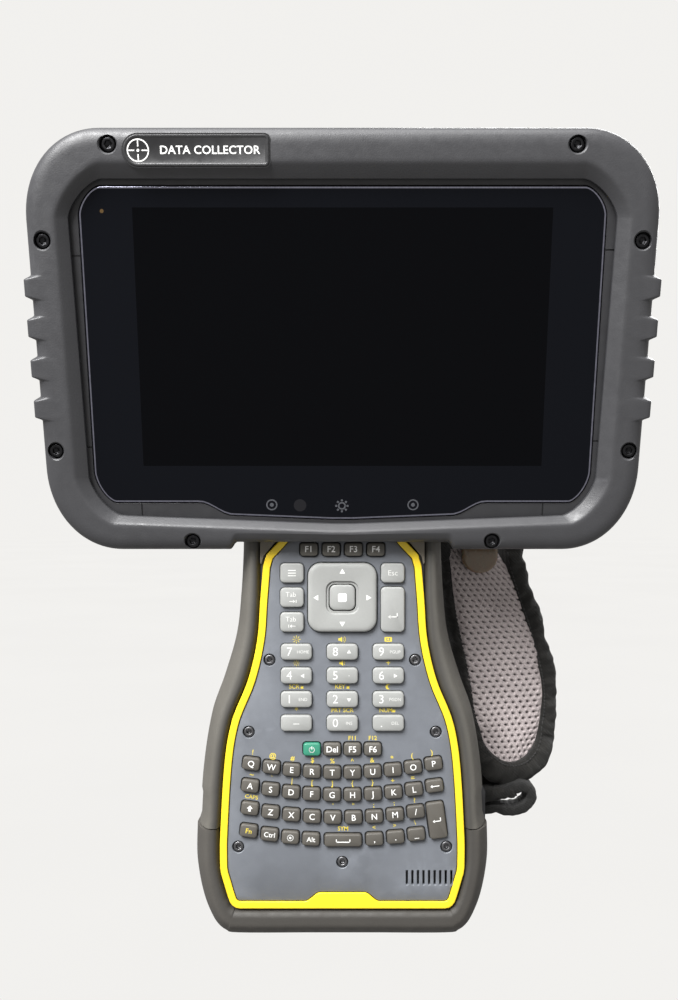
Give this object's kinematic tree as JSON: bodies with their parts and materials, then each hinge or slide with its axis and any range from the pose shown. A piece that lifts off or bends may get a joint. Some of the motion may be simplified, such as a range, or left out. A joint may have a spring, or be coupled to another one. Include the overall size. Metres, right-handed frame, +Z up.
{
  "type": "handheld data collector",
  "caption": "Handheld data collector: a tilted touch screen in a bolted two-shell guard above a keypad handle with rubber bumpers and a side hand strap.",
  "frame": {"origin": "middle of the flat face of the bracket plate on the back, where a pole bracket bolts on", "axes": "+Z up along the handle's keypad, +Y out of the back, +X to the right as the user sees the front, which faces -Y"},
  "size_m": [0.2304, 0.0997, 0.3092],
  "materials": {
    "guard_plastic": "satin moulded charcoal",
    "screw_steel": "black oxide",
    "black_plastic": "satin moulded",
    "battery_plastic": "fine grained",
    "cover_glass": "polished, black behind",
    "lcd": "dark",
    "circuit_board": "solder mask",
    "panel_plastic": "fine grained blue grey",
    "trim_yellow": "satin yellow",
    "key_silicone": "matt silicone",
    "dark_key": "satin",
    "light_key": "satin",
    "green_key": "satin",
    "bumper_rubber": "matt overmould",
    "port_rubber": "matt",
    "mount_metal": "anodised dark",
    "anchor_plastic": "smoked amber",
    "strap_fabric": "spacer mesh with black binding",
    "strap_webbing": "woven"
  },
  "bodies": {
    "housing": {"battery_left": "battery_plastic", "battery_right": "battery_plastic", "display_glass": "cover_glass", "display_housing": "black_plastic", "front_guard": "guard_plastic", "guard_screw_1": "screw_steel", "guard_screw_2": "screw_steel", "guard_screw_3": "screw_steel", "guard_screw_4": "screw_steel", "guard_screw_5": "screw_steel", "guard_screw_6": "screw_steel", "guard_screw_7": "screw_steel", "guard_screw_8": "screw_steel", "handle_shell": "guard_plastic", "keypad_board": "circuit_board", "keypad_panel": "panel_plastic", "lcd_panel": "lcd", "left_bumper": "bumper_rubber", "letter_keypad": "key_silicone", "lower_bumper": "bumper_rubber", "main_board": "circuit_board", "mount_plate": "mount_metal", "panel_trim": "trim_yellow", "rear_guard": "guard_plastic", "right_bumper": "bumper_rubber", "speaker": "black_plastic", "strap_bottom_anchor": "anchor_plastic", "strap_pad": "strap_fabric", "strap_top_anchor": "anchor_plastic", "strap_webbing": "strap_webbing"},
    "key_f1": {"key_f1": "dark_key"},
    "key_f2": {"key_f2": "dark_key"},
    "key_f3": {"key_f3": "dark_key"},
    "key_f4": {"key_f4": "dark_key"},
    "key_menu": {"key_menu": "light_key"},
    "key_tab": {"key_tab": "light_key"},
    "key_tab_back": {"key_tab_back": "light_key"},
    "key_escape": {"key_escape": "light_key"},
    "key_enter": {"key_enter": "light_key"},
    "key_7": {"key_7": "light_key"},
    "key_8": {"key_8": "light_key"},
    "key_9": {"key_9": "light_key"},
    "key_4": {"key_4": "light_key"},
    "key_5": {"key_5": "light_key"},
    "key_6": {"key_6": "light_key"},
    "key_1": {"key_1": "light_key"},
    "key_2": {"key_2": "light_key"},
    "key_3": {"key_3": "light_key"},
    "key_minus": {"key_minus": "light_key"},
    "key_0": {"key_0": "light_key"},
    "key_point": {"key_point": "light_key"},
    "key_power": {"key_power": "green_key"},
    "key_delete": {"key_delete": "dark_key"},
    "key_f5": {"key_f5": "dark_key"},
    "key_f6": {"key_f6": "dark_key"},
    "key_select": {"key_select": "light_key"},
    "direction_pad": {"direction_pad": "light_key"},
    "battery_latch_left": {"battery_latch_left": "black_plastic"},
    "battery_latch_right": {"battery_latch_right": "black_plastic"},
    "port_cover": {"port_cover": "port_rubber"}
  },
  "joints": [
    {"name": "key_f1_press", "type": "slide", "parent": "housing", "child": "key_f1", "axis": [0, 1, 0], "range_m": [0, 0.0008], "stiffness_N_per_m": 800},
    {"name": "key_f2_press", "type": "slide", "parent": "housing", "child": "key_f2", "axis": [0, 1, 0], "range_m": [0, 0.0008], "stiffness_N_per_m": 800},
    {"name": "key_f3_press", "type": "slide", "parent": "housing", "child": "key_f3", "axis": [0, 1, 0], "range_m": [0, 0.0008], "stiffness_N_per_m": 800},
    {"name": "key_f4_press", "type": "slide", "parent": "housing", "child": "key_f4", "axis": [0, 1, 0], "range_m": [0, 0.0008], "stiffness_N_per_m": 800},
    {"name": "key_menu_press", "type": "slide", "parent": "housing", "child": "key_menu", "axis": [0, 1, 0], "range_m": [0, 0.0008], "stiffness_N_per_m": 800},
    {"name": "key_tab_press", "type": "slide", "parent": "housing", "child": "key_tab", "axis": [0, 1, 0], "range_m": [0, 0.0008], "stiffness_N_per_m": 800},
    {"name": "key_tab_back_press", "type": "slide", "parent": "housing", "child": "key_tab_back", "axis": [0, 1, 0], "range_m": [0, 0.0008], "stiffness_N_per_m": 800},
    {"name": "key_escape_press", "type": "slide", "parent": "housing", "child": "key_escape", "axis": [0, 1, 0], "range_m": [0, 0.0008], "stiffness_N_per_m": 800},
    {"name": "key_enter_press", "type": "slide", "parent": "housing", "child": "key_enter", "axis": [0, 1, 0], "range_m": [0, 0.0008], "stiffness_N_per_m": 800},
    {"name": "key_7_press", "type": "slide", "parent": "housing", "child": "key_7", "axis": [0, 1, 0], "range_m": [0, 0.0008], "stiffness_N_per_m": 800},
    {"name": "key_8_press", "type": "slide", "parent": "housing", "child": "key_8", "axis": [0, 1, 0], "range_m": [0, 0.0008], "stiffness_N_per_m": 800},
    {"name": "key_9_press", "type": "slide", "parent": "housing", "child": "key_9", "axis": [0, 1, 0], "range_m": [0, 0.0008], "stiffness_N_per_m": 800},
    {"name": "key_4_press", "type": "slide", "parent": "housing", "child": "key_4", "axis": [0, 1, 0], "range_m": [0, 0.0008], "stiffness_N_per_m": 800},
    {"name": "key_5_press", "type": "slide", "parent": "housing", "child": "key_5", "axis": [0, 1, 0], "range_m": [0, 0.0008], "stiffness_N_per_m": 800},
    {"name": "key_6_press", "type": "slide", "parent": "housing", "child": "key_6", "axis": [0, 1, 0], "range_m": [0, 0.0008], "stiffness_N_per_m": 800},
    {"name": "key_1_press", "type": "slide", "parent": "housing", "child": "key_1", "axis": [0, 1, 0], "range_m": [0, 0.0008], "stiffness_N_per_m": 800},
    {"name": "key_2_press", "type": "slide", "parent": "housing", "child": "key_2", "axis": [0, 1, 0], "range_m": [0, 0.0008], "stiffness_N_per_m": 800},
    {"name": "key_3_press", "type": "slide", "parent": "housing", "child": "key_3", "axis": [0, 1, 0], "range_m": [0, 0.0008], "stiffness_N_per_m": 800},
    {"name": "key_minus_press", "type": "slide", "parent": "housing", "child": "key_minus", "axis": [0, 1, 0], "range_m": [0, 0.0008], "stiffness_N_per_m": 800},
    {"name": "key_0_press", "type": "slide", "parent": "housing", "child": "key_0", "axis": [0, 1, 0], "range_m": [0, 0.0008], "stiffness_N_per_m": 800},
    {"name": "key_point_press", "type": "slide", "parent": "housing", "child": "key_point", "axis": [0, 1, 0], "range_m": [0, 0.0008], "stiffness_N_per_m": 800},
    {"name": "key_power_press", "type": "slide", "parent": "housing", "child": "key_power", "axis": [0, 1, 0], "range_m": [0, 0.0008], "stiffness_N_per_m": 800},
    {"name": "key_delete_press", "type": "slide", "parent": "housing", "child": "key_delete", "axis": [0, 1, 0], "range_m": [0, 0.0008], "stiffness_N_per_m": 800},
    {"name": "key_f5_press", "type": "slide", "parent": "housing", "child": "key_f5", "axis": [0, 1, 0], "range_m": [0, 0.0008], "stiffness_N_per_m": 800},
    {"name": "key_f6_press", "type": "slide", "parent": "housing", "child": "key_f6", "axis": [0, 1, 0], "range_m": [0, 0.0008], "stiffness_N_per_m": 800},
    {"name": "key_select_press", "type": "slide", "parent": "housing", "child": "key_select", "axis": [0, 1, 0], "range_m": [0, 0.0008], "stiffness_N_per_m": 800},
    {"name": "direction_pad_rock", "type": "hinge", "parent": "housing", "child": "direction_pad", "pos_m": [0, -0.0365, -0.0076], "axis": [1, 0, 0], "range_deg": [-2, 2], "stiffness_Nm_per_rad": 0.4},
    {"name": "battery_latch_left_slide", "type": "slide", "parent": "housing", "child": "battery_latch_left", "axis": [0, 0.225, -0.9744], "range_m": [0, 0.004], "stiffness_N_per_m": 300},
    {"name": "battery_latch_right_slide", "type": "slide", "parent": "housing", "child": "battery_latch_right", "axis": [0, 0.225, -0.9744], "range_m": [0, 0.004], "stiffness_N_per_m": 300},
    {"name": "port_cover_hinge", "type": "hinge", "parent": "housing", "child": "port_cover", "pos_m": [-0.009, -0.03543, 0.09378], "axis": [0, -0.225, 0.9744], "range_deg": [0, 100]}
  ]
}
